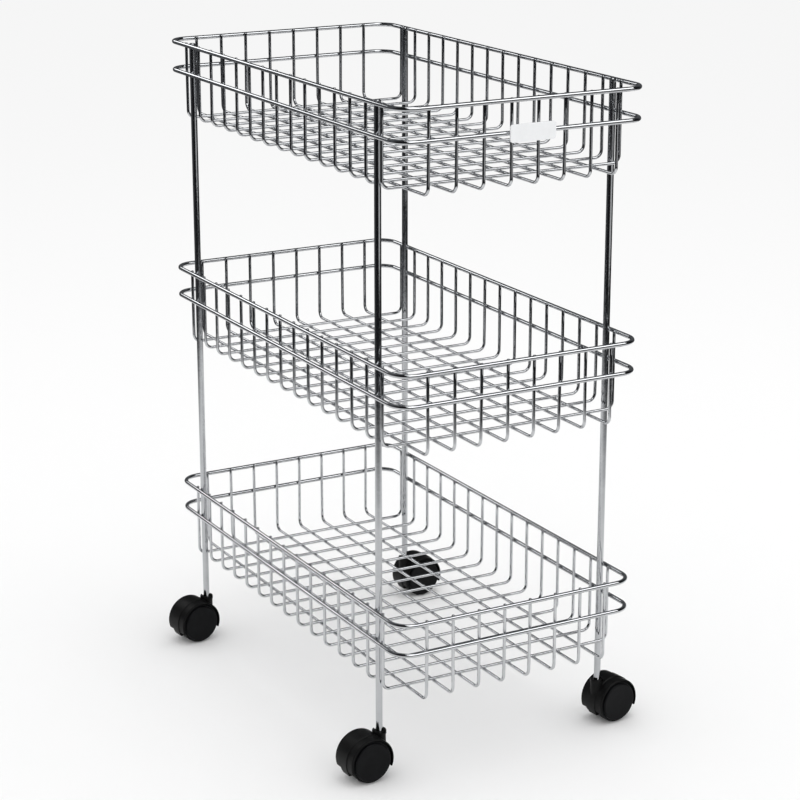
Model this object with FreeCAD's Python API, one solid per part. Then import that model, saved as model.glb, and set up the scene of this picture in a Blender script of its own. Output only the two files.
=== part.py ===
import FreeCAD, Part
import math
import os

from FreeCAD import Vector

# A three-tier wire cart on four hooded twin-wheel casters.
# Millimetres. +Z is up, X runs across the cart, Y along it, and -Y is the front.
# The origin is on the floor, below the centre of the cart.

# Stock
POST_D = 6.0
RING_WIRE_D = 4.0
BASKET_WIRE_D = 2.8
WELD_SINK = 0.2

# Plan of the frame and baskets
POST_X = 115.0
POST_Y = 183.0
RING_X = POST_X + POST_D / 2 + RING_WIRE_D / 2 - WELD_SINK
RING_Y = 229.0
RING_CORNER_R = 18.0

# Heights
RIM_HEIGHTS = {"bottom": 155.0, "middle": 377.0, "top": 599.0}
RAIL_DROP = 27.0
WIRE_STAND = 1.6
CROSS_FLOOR_DROP = 70.0
LONG_FLOOR_DROP = CROSS_FLOOR_DROP + BASKET_WIRE_D - WELD_SINK
POST_TOP = RIM_HEIGHTS["top"] + RING_WIRE_D / 2
POST_FOOT = 26.5
POST_CHAMFER = 0.5

# Basket wires
CROSS_WIRES = 15
CROSS_PITCH = 27.6
LONG_WIRES = 8
LONG_PITCH = 26.1
BEND_R = 7.0
WIRE_END_R = 0.6
LEG_INSET = RING_WIRE_D / 2 + BASKET_WIRE_D / 2 - WELD_SINK

# Name plate and its clips, on the front lower rail of the top basket
PLATE_W = 44.0
PLATE_H = 15.0
PLATE_T = 1.6
PLATE_CORNER_R = 2.5
PLATE_EDGE_R = 0.4
PLATE_X = 3.5
CLIP_X = 6.5
CLIP_W = 5.0
CLIP_WALL = 1.4
CLIP_MOUTH = 3.2

# Caster: the pivot is the post's axis, and the wheels trail behind it
WHEEL_D = 40.0
WHEEL_IN = 5.6
WHEEL_OUT = 15.4
WHEEL_EDGE_R = 1.4
WHEEL_INNER_EDGE_R = 0.7
WHEEL_CAP_R = 18.0
WHEEL_CAP_EDGE_R = 1.4
WHEEL_STEP = 2.4
WHEEL_DISH = 0.4
WHEEL_DISH_R = 8.0
WHEEL_BORE_END = 12.6
TRAIL = 15.0
AXLE_D = 4.0
AXLE_LENGTH = 24.0
AXLE_CHAMFER = 0.4
RUNNING_CLEARANCE = 0.05
HOOD_GAP = 0.4
HOOD_WALL = 1.3
HOOD_HALF_WIDTH = 14.3
HOOD_EDGE_R = 1.0
HOOD_SKIRT = 12.4
BODY_HALF_WIDTH = 5.2
BODY_PROUD = 0.7
BODY_SHOULDER = 0.7
BODY_FOOT = 8.0
HUB_R = 6.0
HUB_TOP = 43.0
COLLAR_R = 6.4
COLLAR_H = 3.4
COLLAR_BEVEL = 0.9
COLLAR_NOTCH_W = 5.6
COLLAR_NOTCH_DEPTH = 2.0
BUSH_R = 4.2
BUSH_FOOT = 30.4
BUSH_TOP = 41.4
POCKET_R = 4.0
POCKET_FLOOR = 26.2
GROOVE_DEPTH = 0.5
GROOVE_Z = 28.3
GRIP_RING_T = 1.0
GRIP_RING_R = 3.6
GRIP_RING_GAP_DEG = 50.0

# Where each caster stands, and the way it trails, counter-clockwise from +X
CASTERS = {
    "front_left": (-POST_X, -POST_Y, 183.0),
    "rear_left": (-POST_X, POST_Y, 187.0),
    "front_right": (POST_X, -POST_Y, 7.0),
    "rear_right": (POST_X, POST_Y, 3.0),
}

UP = Vector(0, 0, 1)
ALONG_Y = Vector(0, 1, 0)


def unit(vector):
    """The direction of a vector, with length 1."""
    result = Vector(vector)
    result.normalize()
    return result


def bent_path(points, radius):
    """Straight runs through the points with a tangent arc at each inner one."""
    edges = []
    start = points[0]
    for before, corner, after in zip(points, points[1:], points[2:]):
        back = unit(before - corner)
        on = unit(after - corner)
        middle = unit(back + on)
        half = back.getAngle(on) / 2
        reach = radius / math.tan(half)
        arc_start = corner + back * reach
        arc_end = corner + on * reach
        arc_middle = corner + middle * (radius / math.sin(half) - radius)
        edges.append(Part.makeLine(start, arc_start))
        edges.append(Part.Arc(arc_start, arc_middle, arc_end).toShape())
        start = arc_end
    edges.append(Part.makeLine(start, points[-1]))
    return Part.Wire(edges)


def wire_along(points, radius, diameter):
    """A round wire bent along the points, as one solid."""
    path = bent_path(points, radius)
    section = Part.Wire(Part.makeCircle(diameter / 2, points[0], points[1] - points[0]))
    return path.makePipeShell([section], True, False)


def round_ends(solid, height, radius):
    """Rounds the wire ends that stand at the given height."""
    ends = [
        edge
        for edge in solid.Edges
        if len(edge.Vertexes) == 1 and abs(edge.CenterOfMass.z - height) < 1e-6
    ]
    return solid.makeFillet(radius, ends)


def ring(height):
    """A closed ring of wire with rounded corners, joined in the middle of its short sides."""
    front = Vector(0, -RING_Y, height)
    rear = Vector(0, RING_Y, height)
    halves = []
    for side in (-1, 1):
        corners = [
            front,
            Vector(side * RING_X, -RING_Y, height),
            Vector(side * RING_X, RING_Y, height),
            rear,
        ]
        halves.append(wire_along(corners, RING_CORNER_R, RING_WIRE_D))
    return halves[0].fuse(halves[1]).removeSplitter().Solids[0]


def basket_wire(run, reach, offset, rim, floor_drop):
    """A U of basket wire: down one side of the basket, across its floor and up the other side."""
    across = Vector(-run.y, run.x, 0) * offset
    top = rim + WIRE_STAND
    points = [
        across - run * reach + UP * top,
        across - run * reach + UP * (rim - floor_drop),
        across + run * reach + UP * (rim - floor_drop),
        across + run * reach + UP * top,
    ]
    return round_ends(wire_along(points, BEND_R, BASKET_WIRE_D), top, WIRE_END_R)


def spread(count, pitch):
    """Evenly spaced offsets, centred on nought."""
    return [(index - (count - 1) / 2) * pitch for index in range(count)]


def cross_wires(rim):
    """The U wires across the basket, which lie on the long ones."""
    reach = RING_X - LEG_INSET
    return [
        basket_wire(Vector(1, 0, 0), reach, offset, rim, CROSS_FLOOR_DROP)
        for offset in spread(CROSS_WIRES, CROSS_PITCH)
    ]


def long_wires(rim):
    """The U wires along the basket."""
    reach = RING_Y - LEG_INSET
    return [
        basket_wire(Vector(0, 1, 0), reach, offset, rim, LONG_FLOOR_DROP)
        for offset in spread(LONG_WIRES, LONG_PITCH)
    ]


def post(x, y):
    """A plain rod with softened ends and a groove near its foot for the spring ring."""
    rod = Part.makeCylinder(POST_D / 2, POST_TOP - POST_FOOT, Vector(x, y, POST_FOOT))
    rod = rod.makeChamfer(POST_CHAMFER, [edge for edge in rod.Edges if len(edge.Vertexes) == 1])
    groove = Part.makeCylinder(POST_D, GRIP_RING_T, Vector(x, y, GROOVE_Z))
    core = Part.makeCylinder(POST_D / 2 - GROOVE_DEPTH, GRIP_RING_T, Vector(x, y, GROOVE_Z))
    return rod.cut(groove.cut(core))


def grip_ring(x, y):
    """The split spring ring that sits in the post's groove."""
    outer = Part.makeCylinder(GRIP_RING_R, GRIP_RING_T, Vector(x, y, GROOVE_Z))
    inner = Part.makeCylinder(POST_D / 2 - GROOVE_DEPTH, GRIP_RING_T, Vector(x, y, GROOVE_Z))
    gap = Part.makeCylinder(
        POST_D, GRIP_RING_T, Vector(x, y, GROOVE_Z), UP, GRIP_RING_GAP_DEG
    )
    return outer.cut(inner).cut(gap)


def name_plate():
    """A blank plate with rounded corners, in front of the lower rail."""
    back = -RING_Y - RING_WIRE_D / 2 - CLIP_WALL + WELD_SINK
    low = RIM_HEIGHTS["top"] - RAIL_DROP - PLATE_H / 2
    plate = Part.makeBox(
        PLATE_W, PLATE_T, PLATE_H, Vector(PLATE_X - PLATE_W / 2, back - PLATE_T, low)
    )
    corners = [edge for edge in plate.Edges if abs(edge.BoundBox.YLength - PLATE_T) < 1e-3]
    plate = plate.makeFillet(PLATE_CORNER_R, corners)
    face_edges = [edge for edge in plate.Edges if edge.BoundBox.YMax < back - PLATE_T + 1e-3]
    return plate.makeFillet(PLATE_EDGE_R, face_edges)


def plate_clips():
    """Two C clips behind the plate that grip the lower rail, open to the rear."""
    height = RIM_HEIGHTS["top"] - RAIL_DROP
    clips = []
    for x in (-CLIP_X, CLIP_X):
        foot = Vector(x - CLIP_W / 2, -RING_Y, height)
        outer = Part.makeCylinder(RING_WIRE_D / 2 + CLIP_WALL, CLIP_W, foot, Vector(1, 0, 0))
        inner = Part.makeCylinder(RING_WIRE_D / 2, CLIP_W, foot, Vector(1, 0, 0))
        mouth = Part.makeBox(
            CLIP_W, RING_WIRE_D + CLIP_WALL, CLIP_MOUTH, foot - UP * (CLIP_MOUTH / 2)
        )
        clips.append(outer.cut(inner).cut(mouth))
    return clips


def revolved(outline):
    """Turns a closed outline of (radius, distance along the axle) about the axle."""
    centre = axle_centre()
    points = [centre + Vector(radius, along, 0) for radius, along in outline]
    face = Part.Face(Part.makePolygon(points + points[:1]))
    return face.revolve(centre, ALONG_Y, 360)


def axle_centre():
    """The middle of the axle for a caster that stands on the origin and trails towards +X."""
    return Vector(TRAIL, 0, WHEEL_D / 2)


def rounded_rim(solid, rim_radius, along, fillet):
    """Rounds the circular edge of a turned solid at that radius and distance along the axle."""
    middle = axle_centre() + ALONG_Y * along
    rims = [
        edge
        for edge in solid.Edges
        if isinstance(edge.Curve, Part.Circle)
        and abs(edge.Curve.Radius - rim_radius) < 1e-6
        and edge.Curve.Center.distanceToPoint(middle) < 1e-6
    ]
    return solid.makeFillet(fillet, rims)


def wheel():
    """One wheel of the pair, with a blind bore, a rounded tread and a cap that stands out."""
    bore = AXLE_D / 2 + RUNNING_CLEARANCE
    side = WHEEL_OUT - WHEEL_STEP
    outline = [
        (bore, WHEEL_IN),
        (WHEEL_D / 2, WHEEL_IN),
        (WHEEL_D / 2, side),
        (WHEEL_CAP_R, side),
        (WHEEL_CAP_R, WHEEL_OUT),
        (WHEEL_DISH_R, WHEEL_OUT - WHEEL_DISH),
        (0, WHEEL_OUT - WHEEL_DISH),
        (0, WHEEL_BORE_END),
        (bore, WHEEL_BORE_END),
    ]
    solid = revolved(outline)
    solid = rounded_rim(solid, WHEEL_D / 2, side, WHEEL_EDGE_R)
    solid = rounded_rim(solid, WHEEL_CAP_R, WHEEL_OUT, WHEEL_CAP_EDGE_R)
    return rounded_rim(solid, WHEEL_D / 2, WHEEL_IN, WHEEL_INNER_EDGE_R)


def hood():
    """Both fenders, the body between the wheels and the hub, in one moulding."""
    inner_r = WHEEL_D / 2 + HOOD_GAP
    fender_r = inner_r + HOOD_WALL
    body_r = fender_r + BODY_PROUD
    shoulder = BODY_HALF_WIDTH + BODY_SHOULDER
    outline = [
        (0, -HOOD_HALF_WIDTH),
        (fender_r, -HOOD_HALF_WIDTH),
        (fender_r, -shoulder),
        (body_r, -BODY_HALF_WIDTH),
        (body_r, BODY_HALF_WIDTH),
        (fender_r, shoulder),
        (fender_r, HOOD_HALF_WIDTH),
        (0, HOOD_HALF_WIDTH),
    ]
    shell = revolved(outline)
    for side in (-1, 1):
        shell = rounded_rim(shell, fender_r, side * HOOD_HALF_WIDTH, HOOD_EDGE_R)
    hub = Part.makeCylinder(HUB_R, HUB_TOP - WHEEL_D / 2, Vector(0, 0, WHEEL_D / 2))
    solid = shell.fuse(hub).fuse(collar())
    centre = axle_centre()
    depth = HOOD_HALF_WIDTH - BODY_HALF_WIDTH + 1
    for side in (-1, 1):
        inside = ALONG_Y * (side * BODY_HALF_WIDTH)
        pocket = Part.makeCylinder(inner_r, depth, centre + inside, ALONG_Y * side)
        low_corner = min(side * BODY_HALF_WIDTH, side * (BODY_HALF_WIDTH + depth))
        skirt = Part.makeBox(100, depth, 100, Vector(-50, low_corner, HOOD_SKIRT - 100))
        solid = solid.cut(pocket).cut(skirt)
    foot = Part.makeBox(100, 100, 100, Vector(-50, -50, BODY_FOOT - 100))
    bore = Part.makeCylinder(BUSH_R, HUB_TOP, Vector(0, 0, BUSH_FOOT))
    ring_pocket = Part.makeCylinder(POCKET_R, BUSH_FOOT - POCKET_FLOOR, Vector(0, 0, POCKET_FLOOR))
    pin_hole = Part.makeCylinder(AXLE_D / 2, 100, centre - ALONG_Y * 50, ALONG_Y)
    for hole in (foot, bore, ring_pocket, pin_hole):
        solid = solid.cut(hole)
    return solid.removeSplitter().Solids[0]


def collar():
    """The bevelled rim at the top of the hub, lower at both sides than at front and back."""
    low = HUB_TOP - COLLAR_H
    rim = Part.makeCylinder(COLLAR_R, COLLAR_H - COLLAR_BEVEL, Vector(0, 0, low))
    bevel = Part.makeCone(
        COLLAR_R, COLLAR_R - COLLAR_BEVEL, COLLAR_BEVEL, Vector(0, 0, HUB_TOP - COLLAR_BEVEL)
    )
    return rim.fuse(bevel)


def notched(solid):
    """Cuts the two wide notches across the top of the hub."""
    notch = Part.makeBox(
        COLLAR_NOTCH_W,
        4 * COLLAR_R,
        COLLAR_NOTCH_DEPTH + 1,
        Vector(-COLLAR_NOTCH_W / 2, -2 * COLLAR_R, HUB_TOP - COLLAR_NOTCH_DEPTH),
    )
    return solid.cut(notch)


def bush():
    """The sleeve in the hub that the post turns in."""
    height = BUSH_TOP - BUSH_FOOT
    sleeve = Part.makeCylinder(BUSH_R, height, Vector(0, 0, BUSH_FOOT))
    bore = Part.makeCylinder(POST_D / 2 + RUNNING_CLEARANCE, height, Vector(0, 0, BUSH_FOOT))
    return sleeve.cut(bore)


def axle():
    """The pin pressed through the body, with a softened edge at each end."""
    start = axle_centre() - ALONG_Y * (AXLE_LENGTH / 2)
    pin = Part.makeCylinder(AXLE_D / 2, AXLE_LENGTH, start, ALONG_Y)
    return pin.makeChamfer(AXLE_CHAMFER, [edge for edge in pin.Edges if len(edge.Vertexes) == 1])


def stand(shape, x, y, angle):
    """Turns a caster piece about its pivot and puts it under its post."""
    result = shape.copy()
    result.rotate(Vector(0, 0, 0), UP, angle)
    result.translate(Vector(x, y, 0))
    return result


def write(name, shape):
    """Writes one node."""
    shape.exportStep("parts/" + name + ".step")


os.makedirs("parts", exist_ok=True)

for tier, rim_height in RIM_HEIGHTS.items():
    write(tier + "_basket_upper_rim", ring(rim_height))
    write(tier + "_basket_lower_rail", ring(rim_height - RAIL_DROP))
    write(tier + "_basket_cross_wires", Part.makeCompound(cross_wires(rim_height)))
    write(tier + "_basket_long_wires", Part.makeCompound(long_wires(rim_height)))

write("name_plate", name_plate())
write("name_plate_clips", Part.makeCompound(plate_clips()))

outer_wheel = wheel()
caster_pieces = {
    "hood": notched(hood()),
    "stem_bush": bush(),
    "axle": axle(),
    "wheel_a": outer_wheel,
    "wheel_b": outer_wheel.mirror(Vector(0, 0, 0), ALONG_Y),
}

for corner, (corner_x, corner_y, heading) in CASTERS.items():
    write("post_" + corner, post(corner_x, corner_y))
    write("post_ring_" + corner, grip_ring(corner_x, corner_y))
    for piece, shape in caster_pieces.items():
        write("caster_" + corner + "_" + piece, stand(shape, corner_x, corner_y, heading))
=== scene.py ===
import math
import random

import bpy
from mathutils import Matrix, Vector


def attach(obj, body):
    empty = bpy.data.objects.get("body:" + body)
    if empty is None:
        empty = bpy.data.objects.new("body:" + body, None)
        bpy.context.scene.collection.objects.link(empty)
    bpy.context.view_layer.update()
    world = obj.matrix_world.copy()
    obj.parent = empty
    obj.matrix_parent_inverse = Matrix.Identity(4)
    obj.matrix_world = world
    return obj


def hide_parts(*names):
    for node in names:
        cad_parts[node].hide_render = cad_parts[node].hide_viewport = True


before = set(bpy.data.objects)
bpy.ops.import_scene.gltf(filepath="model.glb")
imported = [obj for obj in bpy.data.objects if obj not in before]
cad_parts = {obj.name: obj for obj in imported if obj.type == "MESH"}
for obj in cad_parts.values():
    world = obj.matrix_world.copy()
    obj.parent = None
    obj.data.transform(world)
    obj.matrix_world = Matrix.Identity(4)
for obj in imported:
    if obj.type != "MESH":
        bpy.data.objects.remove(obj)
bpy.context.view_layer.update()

MM = 0.001

# The same plan as the CAD model, in millimetres. A tier's height is its upper rim's centre line.
POST_X, POST_Y = 115.0, 183.0
POST_R, RING_R, WIRE_R = 3.0, 2.0, 1.4
SINK = 0.2
RING_X = POST_X + POST_R + RING_R - SINK
RING_Y = 229.0
RING_CORNER = 18.0
TIERS = {"bottom": 155.0, "middle": 377.0, "top": 599.0}
RAIL_DROP = 27.0
WIRE_STAND = 1.6
CROSS_FLOOR, LONG_FLOOR = 70.0, 72.6
CROSS_COUNT, CROSS_PITCH = 15, 27.6
LONG_COUNT, LONG_PITCH = 8, 26.1
BEND = 7.0
LEG_INSET = RING_R + WIRE_R - SINK

# The most that a wire's floor end leans sideways, in millimetres.
LEAN = 0.5

# A wire's end is a dome, whose depth is this share of the wire's radius.
DOME = 0.45
DOME_ANGLES = (30, 60, 90)

# How finely the wires and weld beads are drawn. A longer gap than SIDE_GAP is a ring's side.
WIRE_SIDES, RING_SIDES = 14, 18
CORNER_STEPS, SIDE_STEPS, SIDE_GAP = 10, 12, 20.0
LEG_STEPS, BEND_STEPS, SPAN_STEPS = 5, 7, 14
BEAD_RINGS, BEAD_SIDES = 5, 10


# Materials

def node_material(name):
    material = bpy.data.materials.new(name)
    material.use_nodes = True
    tree = material.node_tree
    shader = tree.nodes["Principled BSDF"]
    return material, tree, shader


def link(tree, source, target):
    tree.links.new(source, target)


def coordinates(tree):
    """Coordinates in the object's own frame, so that a texture moves with its piece."""
    texture = tree.nodes.new("ShaderNodeTexCoord")
    return texture.outputs["Object"]


def noise(tree, vector, scale, detail, roughness):
    node = tree.nodes.new("ShaderNodeTexNoise")
    node.inputs["Scale"].default_value = scale
    node.inputs["Detail"].default_value = detail
    node.inputs["Roughness"].default_value = roughness
    link(tree, vector, node.inputs["Vector"])
    return node.outputs["Fac"]


def spread(tree, source, low, high, from_low=0.3, from_high=0.7):
    """Maps a range onto low to high. The default is where most of a noise texture lies."""
    node = tree.nodes.new("ShaderNodeMapRange")
    node.inputs["From Min"].default_value = from_low
    node.inputs["From Max"].default_value = from_high
    node.inputs["To Min"].default_value = low
    node.inputs["To Max"].default_value = high
    link(tree, source, node.inputs["Value"])
    return node.outputs["Result"]


def mixed(tree, factor, low, high):
    node = tree.nodes.new("ShaderNodeMix")
    node.data_type = "RGBA"
    node.inputs["A"].default_value = (*low, 1)
    node.inputs["B"].default_value = (*high, 1)
    link(tree, factor, node.inputs["Factor"])
    return node.outputs["Result"]


def bumped(tree, shader, height, strength, distance):
    node = tree.nodes.new("ShaderNodeBump")
    node.inputs["Strength"].default_value = strength
    node.inputs["Distance"].default_value = distance
    link(tree, height, node.inputs["Height"])
    link(tree, node.outputs["Normal"], shader.inputs["Normal"])


def plating(name, low, high, rough_low, rough_high, ripple):
    """Bright plating: a faint cloudiness, a finely varied gloss and slow ripples."""
    material, tree, shader = node_material(name)
    shader.inputs["Metallic"].default_value = 1.0
    where = coordinates(tree)
    cloud = noise(tree, where, scale=60.0, detail=3.0, roughness=0.55)
    fine = noise(tree, where, scale=900.0, detail=4.0, roughness=0.6)
    link(tree, mixed(tree, spread(tree, cloud, 0.0, 1.0), low, high), shader.inputs["Base Color"])
    link(tree, spread(tree, fine, rough_low, rough_high), shader.inputs["Roughness"])
    slow = noise(tree, where, scale=140.0, detail=2.0, roughness=0.5)
    bumped(tree, shader, slow, strength=1.0, distance=ripple)
    return material


def moulding(name, low, high, rough_low, rough_high, grain, depth, shine):
    """Moulded plastic: a fine spark texture and a slight unevenness of colour and gloss."""
    material, tree, shader = node_material(name)
    where = coordinates(tree)
    cloud = noise(tree, where, scale=90.0, detail=4.0, roughness=0.6)
    spark = noise(tree, where, scale=grain, detail=3.0, roughness=0.6)
    link(tree, mixed(tree, spread(tree, cloud, 0.0, 1.0), low, high), shader.inputs["Base Color"])
    link(tree, spread(tree, cloud, rough_low, rough_high), shader.inputs["Roughness"])
    shader.inputs["Specular IOR Level"].default_value = shine
    bumped(tree, shader, spark, strength=0.6, distance=depth)
    return material


WIRE = plating(
    "plated_wire",
    low=(0.49, 0.50, 0.515),
    high=(0.57, 0.58, 0.595),
    rough_low=0.06,
    rough_high=0.12,
    ripple=0.00005,
)
# The posts' plating: the plating's own colour, made darker than the wires' as painted shade for the
# posts' darker look near the floor.
SHADED_ROD = plating(
    "plated_rod",
    low=(0.44, 0.45, 0.465),
    high=(0.51, 0.52, 0.535),
    rough_low=0.07,
    rough_high=0.14,
    ripple=0.00005,
)
STEEL = plating(
    "spring_steel",
    low=(0.20, 0.20, 0.21),
    high=(0.30, 0.30, 0.31),
    rough_low=0.30,
    rough_high=0.42,
    ripple=0.00004,
)
HOOD = moulding(
    "hood_plastic",
    low=(0.0042, 0.0043, 0.0044),
    high=(0.0070, 0.0072, 0.0072),
    rough_low=0.36,
    rough_high=0.48,
    grain=2600,
    depth=0.00005,
    shine=0.10,
)
WHEEL = moulding(
    "wheel_plastic",
    low=(0.0032, 0.0034, 0.0039),
    high=(0.0056, 0.0060, 0.0068),
    rough_low=0.32,
    rough_high=0.44,
    grain=3200,
    depth=0.00004,
    shine=0.09,
)
BUSH = moulding(
    "bush_plastic",
    low=(0.008, 0.008, 0.008),
    high=(0.014, 0.014, 0.014),
    rough_low=0.40,
    rough_high=0.50,
    grain=2600,
    depth=0.00003,
    shine=0.3,
)
PLATE = moulding(
    "plate_plastic",
    low=(0.83, 0.84, 0.85),
    high=(0.88, 0.89, 0.90),
    rough_low=0.16,
    rough_high=0.24,
    grain=1200,
    depth=0.00002,
    shine=0.5,
)
CLIP = moulding(
    "clip_plastic",
    low=(0.62, 0.62, 0.61),
    high=(0.70, 0.70, 0.69),
    rough_low=0.35,
    rough_high=0.45,
    grain=1500,
    depth=0.00003,
    shine=0.4,
)


# Wires

def mesh_object(name, vertices, faces, material):
    mesh = bpy.data.meshes.new(name)
    mesh.from_pydata(vertices, [], faces)
    mesh.materials.append(material)
    obj = bpy.data.objects.new(name, mesh)
    bpy.context.scene.collection.objects.link(obj)
    return obj


def smoothed(obj):
    mesh = obj.data
    mesh.polygons.foreach_set("use_smooth", [True] * len(mesh.polygons))
    return obj


def tube(name, material, runs, radius, sides=WIRE_SIDES):
    """One mesh of round wires. Each run is (points, closed); open ends are domed."""
    vertices, faces = [], []
    for points, closed in runs:
        count = len(points)
        points = [Vector(p) for p in points]
        tangents = []
        for i in range(count):
            if closed:
                d = points[(i + 1) % count] - points[i - 1]
            else:
                d = points[min(i + 1, count - 1)] - points[max(i - 1, 0)]
            tangents.append(d.normalized())
        side = tangents[0].orthogonal().normalized()
        rings = []
        for i, (p, t) in enumerate(zip(points, tangents)):
            if i:
                turn = tangents[i - 1].rotation_difference(t)
                side = turn @ side
            side = (side - t * side.dot(t)).normalized()
            rings.append((p, t, side.copy(), radius))
        if not closed:
            first, last = rings[0], rings[-1]
            depth = DOME * radius
            for angle in DOME_ANGLES:
                a = math.radians(angle)
                out, shrink = depth * math.sin(a), radius - depth * (1 - math.cos(a))
                rings.insert(0, (first[0] - first[1] * out, first[1], first[2], shrink))
                rings.append((last[0] + last[1] * out, last[1], last[2], shrink))
        base = len(vertices)
        for p, t, s, r in rings:
            other = t.cross(s)
            for k in range(sides):
                a = 2 * math.pi * k / sides
                vertices.append((p + (s * math.cos(a) + other * math.sin(a)) * r) * MM)
        total = len(rings)
        for i in range(total if closed else total - 1):
            here = base + i * sides
            beyond = base + (i + 1) % total * sides
            for k in range(sides):
                m = (k + 1) % sides
                faces.append((here + k, here + m, beyond + m, beyond + k))
        if not closed:
            faces.append(tuple(base + k for k in reversed(range(sides))))
            faces.append(tuple(base + (total - 1) * sides + k for k in range(sides)))
    obj = smoothed(mesh_object(name, vertices, faces, material))
    obj.data.validate()
    return obj


def arc(centre, start, end, steps):
    """Points on a quarter circle about the centre, from one radius vector to another."""
    return [
        centre + start * math.cos(a) + end * math.sin(a)
        for a in (math.pi / 2 * k / steps for k in range(steps + 1))
    ]


def straight(a, b, steps):
    """The points between two ends, without the ends."""
    return [a + (b - a) * (k / steps) for k in range(1, steps)]


def ring_path(height):
    """The centre line of a rim or rail: a rectangle with round corners."""
    points = []
    r = RING_CORNER
    for sx, sy in ((1, 1), (-1, 1), (-1, -1), (1, -1)):
        centre = Vector((sx * (RING_X - r), sy * (RING_Y - r), height))
        if sx * sy > 0:
            start, end = Vector((sx * r, 0, 0)), Vector((0, sy * r, 0))
        else:
            start, end = Vector((0, sy * r, 0)), Vector((sx * r, 0, 0))
        points += arc(centre, start, end, CORNER_STEPS)
    full = []
    count = len(points)
    for i, p in enumerate(points):
        following = points[(i + 1) % count]
        full.append(p)
        if (following - p).length > SIDE_GAP:
            full += straight(p, following, SIDE_STEPS)
    return full


def basket_wire(run, reach, offset, rim, drop, draw):
    """The route of one U wire, with the small lean that hand-loaded welding leaves."""
    across = Vector((-run.y, run.x, 0))
    up = Vector((0, 0, 1))
    floor = rim - drop
    top = rim + WIRE_STAND - DOME * WIRE_R
    middle = across * offset
    lean = [draw.uniform(-LEAN, LEAN), draw.uniform(-LEAN, LEAN)]
    low = middle - run * reach
    high = middle + run * reach
    points = [low + up * top]
    points += straight(low + up * top, low + up * (floor + BEND), LEG_STEPS)
    points += arc(low + run * BEND + up * (floor + BEND), -run * BEND, -up * BEND, BEND_STEPS)
    a, b = low + run * BEND + up * floor, high - run * BEND + up * floor
    points += straight(a, b, SPAN_STEPS)
    points += arc(high - run * BEND + up * (floor + BEND), -up * BEND, run * BEND, BEND_STEPS)
    points += straight(high + up * (floor + BEND), high + up * top, LEG_STEPS)
    points.append(high + up * top)
    bent = []
    for p in points:
        below = max(0.0, (rim - RAIL_DROP - p.z) / (drop - RAIL_DROP))
        along = (p - middle).dot(run) / reach
        shift = lean[0] * below * (1 - along) / 2 + lean[1] * below * (1 + along) / 2
        bent.append(p + across * shift)
    return bent


def offsets(count, pitch):
    return [(k - (count - 1) / 2) * pitch for k in range(count)]


def nuggets(name, material, spots):
    """Small weld beads, each an ellipsoid at (centre, half sizes)."""
    vertices, faces = [], []
    rings, sides = BEAD_RINGS, BEAD_SIDES
    for centre, half in spots:
        base = len(vertices)
        for i in range(1, rings):
            a = math.pi * i / rings
            for k in range(sides):
                b = 2 * math.pi * k / sides
                vertices.append(
                    (
                        (centre.x + half.x * math.sin(a) * math.cos(b)) * MM,
                        (centre.y + half.y * math.sin(a) * math.sin(b)) * MM,
                        (centre.z + half.z * math.cos(a)) * MM,
                    )
                )
        top = len(vertices)
        vertices.append((centre.x * MM, centre.y * MM, (centre.z + half.z) * MM))
        vertices.append((centre.x * MM, centre.y * MM, (centre.z - half.z) * MM))
        for i in range(rings - 2):
            here = base + i * sides
            beyond = here + sides
            for k in range(sides):
                m = (k + 1) % sides
                faces.append((here + k, beyond + k, beyond + m, here + m))
        last = base + (rings - 2) * sides
        for k in range(sides):
            m = (k + 1) % sides
            faces.append((top, base + k, base + m))
            faces.append((top + 1, last + m, last + k))
    return smoothed(mesh_object(name, vertices, faces, material))


def finished(piece, body, slot, *nodes):
    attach(piece, body)
    if nodes:
        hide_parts(*nodes)
    return piece


# Baskets

ACROSS, ALONG = Vector((1, 0, 0)), Vector((0, 1, 0))

# Half sizes of the weld beads, in millimetres: where a leg meets a ring on a long side and on a
# short side, where two floor wires cross, and where a post meets a ring.
BEAD_ON_LONG_SIDE = Vector((0.5, 1.45, 0.5))
BEAD_ON_SHORT_SIDE = Vector((1.45, 0.5, 0.5))
BEAD_ON_FLOOR = Vector((1.25, 1.25, 0.8))
BEAD_ON_POST = Vector((1.0, 2.0, 1.5))


def weld_spots(rim):
    spots = []
    rings = (rim, rim - RAIL_DROP)
    for height in rings:
        for side in (-1, 1):
            for y in offsets(CROSS_COUNT, CROSS_PITCH):
                spots.append((Vector((side * (RING_X - RING_R), y, height)), BEAD_ON_LONG_SIDE))
            for x in offsets(LONG_COUNT, LONG_PITCH):
                spots.append((Vector((x, side * (RING_Y - RING_R), height)), BEAD_ON_SHORT_SIDE))
    for x in offsets(LONG_COUNT, LONG_PITCH):
        for y in offsets(CROSS_COUNT, CROSS_PITCH):
            spots.append((Vector((x, y, rim - (CROSS_FLOOR + LONG_FLOOR) / 2)), BEAD_ON_FLOOR))
    for side in (-1, 1):
        for y in (-POST_Y, POST_Y):
            for height in rings:
                spots.append((Vector((side * (POST_X + POST_R), y, height)), BEAD_ON_POST))
    return spots


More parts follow.
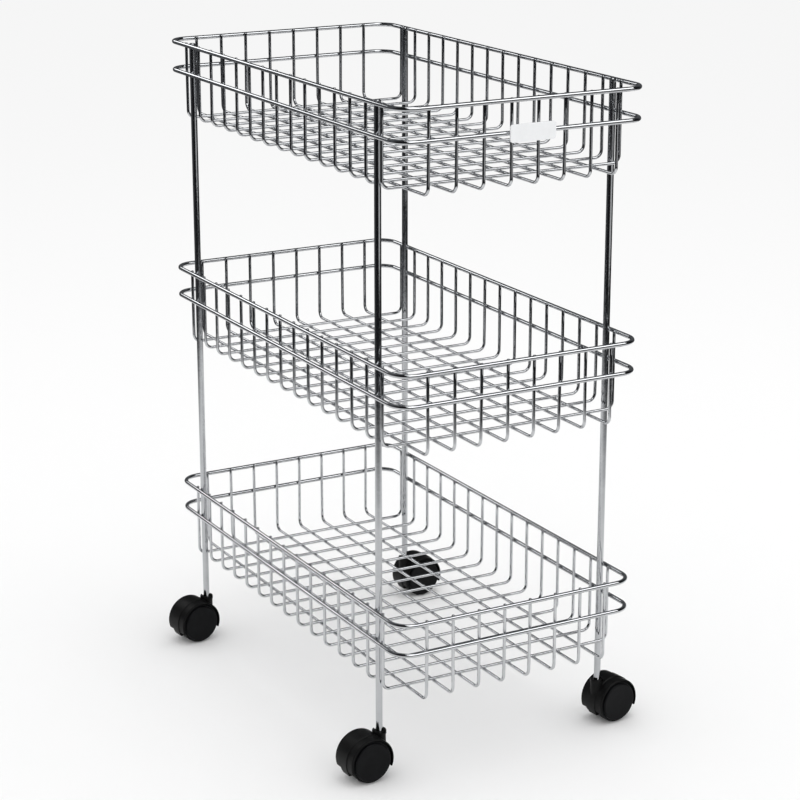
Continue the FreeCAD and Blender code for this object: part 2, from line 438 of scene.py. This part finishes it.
def basket(tier, rim, draw):
    for part, height in (("upper_rim", rim), ("lower_rail", rim - RAIL_DROP)):
        path = [(ring_path(height), True)]
        ring = tube(f"{tier}_{part}_wire", WIRE, path, RING_R, RING_SIDES)
        finished(ring, "frame", "plated_wire", f"{tier}_basket_{part}")
    cross = [
        (basket_wire(ACROSS, RING_X - LEG_INSET, y, rim, CROSS_FLOOR, draw), False)
        for y in offsets(CROSS_COUNT, CROSS_PITCH)
    ]
    cross_set = tube(f"{tier}_cross_wire_set", WIRE, cross, WIRE_R)
    finished(cross_set, "frame", "plated_wire", f"{tier}_basket_cross_wires")
    lengthwise = [
        (basket_wire(ALONG, RING_Y - LEG_INSET, x, rim, LONG_FLOOR, draw), False)
        for x in offsets(LONG_COUNT, LONG_PITCH)
    ]
    long_set = tube(f"{tier}_long_wire_set", WIRE, lengthwise, WIRE_R)
    finished(long_set, "frame", "plated_wire", f"{tier}_basket_long_wires")
    finished(nuggets(f"{tier}_weld_beads", WIRE, weld_spots(rim)), "frame", "plated_wire")


draw = random.Random(11)
for tier, rim in TIERS.items():
    basket(tier, rim, draw)


# Materials of the CAD nodes that stay

CASTER_MATERIALS = {
    "hood": HOOD,
    "stem_bush": BUSH,
    "axle": STEEL,
    "wheel_a": WHEEL,
    "wheel_b": WHEEL,
}


def kept_material(name):
    """The material of a node that keeps its CAD shape, or None for a rebuilt one."""
    if name.startswith("caster_"):
        for ending, material in CASTER_MATERIALS.items():
            if name.endswith(ending):
                return material
    if name.startswith("post_ring"):
        return STEEL
    if name.startswith("post_"):
        return SHADED_ROD
    return {"name_plate": PLATE, "name_plate_clips": CLIP}.get(name)


for name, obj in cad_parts.items():
    material = kept_material(name)
    if material is not None:
        for material_slot in obj.material_slots:
            material_slot.material = material


# Stage, lights and camera, in metres

WHITE, BLACK = (1.0, 1.0, 1.0), (0.0, 0.0, 0.0)
FLOOR_GREY = (0.88, 0.88, 0.88, 1)
FLOOR_RADIUS, BACKDROP_RADIUS = 14.0, 13.9
ROOM_RADIUS, SWEEP_RADIUS, SWEEP_HEIGHT = 5.0, 4.95, 0.001
DOME_SINK = 0.01
BACKDROP_GLOW, CARD_GLOW, SKY_GLOW = 0.91, 0.66, 1.04

# The dark studio's colours at its front and back, and where along Y the change begins and ends.
ROOM_FRONT, ROOM_BACK = (0.013, 0.0135, 0.015), (0.10, 0.103, 0.108)
ROOM_FRONT_Y, ROOM_BACK_Y = -0.6, 1.6

# Up to the first distance from the cart the white floor is reflected, past the second it is not.
SWEEP_CLEAR, SWEEP_SOLID = 0.80, 1.30

# A white card lies on the floor in front of the cart, to show in the reflections.
CARD_CORNERS = [(-0.15, -2.1, 0.002), (1.51, -1.46, 0.002), (2.88, -2.78, 0.002), (-0.28, -4.0, 0.002)]

# The camera comes from a perspective fit of the rings, posts and wires. Angles are in degrees.
SENSOR_WIDTH, LENS = 36.0, 104.33
CAMERA_PLACE = (-1.0083, -1.8284, 0.9125)
CAMERA_DOWN, CAMERA_TURN = 16.8345, -29.06
CAMERA_REACH = 40.0


def staged(name, vertices, faces, material):
    obj = mesh_object(name, vertices, faces, material)
    return obj


def emission(name, colour, strength):
    material, tree, shader = node_material(name)
    tree.nodes.remove(shader)
    glow = tree.nodes.new("ShaderNodeEmission")
    glow.inputs["Color"].default_value = (*colour, 1)
    glow.inputs["Strength"].default_value = strength
    link(tree, glow.outputs["Emission"], tree.nodes["Material Output"].inputs["Surface"])
    return material, tree, glow


def seen_only(obj, camera=False, glossy=False):
    """Backdrops that the camera sees and flags that only the reflections see."""
    obj.visible_camera = camera
    obj.visible_glossy = glossy
    obj.visible_diffuse = False
    obj.visible_shadow = False
    obj.visible_transmission = False
    obj.visible_volume_scatter = False


def disc(radius, height, steps=96):
    ring = []
    for k in range(steps):
        a = 2 * math.pi * k / steps
        ring.append((radius * math.cos(a), radius * math.sin(a), height))
    return ring, [tuple(range(steps))]


def half_sphere(radius, sink, rings=16, sides=64):
    vertices, faces = [], []
    for i in range(rings):
        a = math.pi / 2 * i / rings
        for k in range(sides):
            b = 2 * math.pi * k / sides
            r = radius * math.cos(a)
            vertices.append((r * math.cos(b), r * math.sin(b), radius * math.sin(a) - sink))
    for i in range(rings - 1):
        here = i * sides
        above = here + sides
        for k in range(sides):
            m = (k + 1) % sides
            faces.append((here + k, here + m, above + m, above + k))
    faces.append(tuple((rings - 1) * sides + k for k in range(sides)))
    return vertices, faces


def graded(tree, glow):
    """The studio beyond the white floor: dark, and a little lighter towards its back wall."""
    axis = tree.nodes.new("ShaderNodeSeparateXYZ")
    link(tree, coordinates(tree), axis.inputs["Vector"])
    shade = spread(tree, axis.outputs["Y"], 0.0, 1.0, ROOM_FRONT_Y, ROOM_BACK_Y)
    link(tree, mixed(tree, shade, ROOM_FRONT, ROOM_BACK), glow.inputs["Color"])


def fading(tree, glow):
    """Clear near the cart, so that the floor shows in reflections, and solid further out."""
    clear = tree.nodes.new("ShaderNodeBsdfTransparent")
    blend = tree.nodes.new("ShaderNodeMixShader")
    length = tree.nodes.new("ShaderNodeVectorMath")
    length.operation = "LENGTH"
    link(tree, coordinates(tree), length.inputs[0])
    fade = spread(tree, length.outputs["Value"], 0.0, 1.0, SWEEP_CLEAR, SWEEP_SOLID)
    link(tree, fade, blend.inputs["Fac"])
    link(tree, clear.outputs["BSDF"], blend.inputs[1])
    link(tree, glow.outputs["Emission"], blend.inputs[2])
    link(tree, blend.outputs["Shader"], tree.nodes["Material Output"].inputs["Surface"])


FLOOR, _, floor_shader = node_material("studio_floor")
floor_shader.inputs["Roughness"].default_value = 0.8
floor_shader.inputs["Specular IOR Level"].default_value = 0.0
floor_shader.inputs["Base Color"].default_value = FLOOR_GREY
staged("studio_floor", *disc(FLOOR_RADIUS, 0.0), FLOOR)

BACKDROP, _, _ = emission("backdrop_white", WHITE, BACKDROP_GLOW)
seen_only(staged("backdrop", *half_sphere(BACKDROP_RADIUS, DOME_SINK), BACKDROP), camera=True)

DARK, dark_tree, dark_glow = emission("studio_dark", BLACK, 1.0)
graded(dark_tree, dark_glow)
seen_only(staged("dark_room", *half_sphere(ROOM_RADIUS, DOME_SINK), DARK), glossy=True)

SWEEP, sweep_tree, sweep_glow = emission("sweep_edge", BLACK, 1.0)
graded(sweep_tree, sweep_glow)
fading(sweep_tree, sweep_glow)
seen_only(staged("sweep_edge", *disc(SWEEP_RADIUS, SWEEP_HEIGHT), SWEEP), glossy=True)

CARD, _, _ = emission("bounce_card", WHITE, CARD_GLOW)
seen_only(staged("bounce_card", CARD_CORNERS, [(0, 1, 2, 3)], CARD), glossy=True)

world = bpy.data.worlds.new("studio")
bpy.context.scene.world = world
world.use_nodes = True
background = world.node_tree.nodes["Background"]
background.inputs["Color"].default_value = (*WHITE, 1)
background.inputs["Strength"].default_value = SKY_GLOW


def softbox(name, location, target, width, height, power, lights_room=False):
    """A soft light. Most of them show only in reflections, and the even sky lights the room."""
    data = bpy.data.lights.new(name, "AREA")
    data.shape = "RECTANGLE"
    data.size, data.size_y = width, height
    data.energy = power
    obj = bpy.data.objects.new(name, data)
    bpy.context.scene.collection.objects.link(obj)
    obj.location = location
    obj.rotation_euler = (Vector(target) - Vector(location)).to_track_quat("-Z", "Y").to_euler()
    obj.visible_camera = False
    obj.visible_diffuse = lights_room


softbox(
    "front_softbox",
    location=(0.35, -1.55, 1.9),
    target=(0, 0, 0.3),
    width=2.9,
    height=1.4,
    power=36,
)
softbox(
    "back_strip",
    location=(-0.7, 2.3, 1.5),
    target=(0, 0, 0.35),
    width=1.3,
    height=0.45,
    power=5,
)
softbox(
    "top_softbox",
    location=(0.2, -0.2, 2.6),
    target=(0, 0, 0.3),
    width=1.0,
    height=1.0,
    power=9,
    lights_room=True,
)

camera_data = bpy.data.cameras.new("camera")
camera = bpy.data.objects.new("camera", camera_data)
bpy.context.scene.collection.objects.link(camera)
bpy.context.scene.camera = camera
camera_data.sensor_width = SENSOR_WIDTH
camera_data.lens = LENS
camera.location = CAMERA_PLACE
camera.rotation_euler = (math.radians(90 - CAMERA_DOWN), 0, math.radians(CAMERA_TURN))
camera_data.clip_end = CAMERA_REACH

bpy.context.scene.view_settings.view_transform = "Standard"
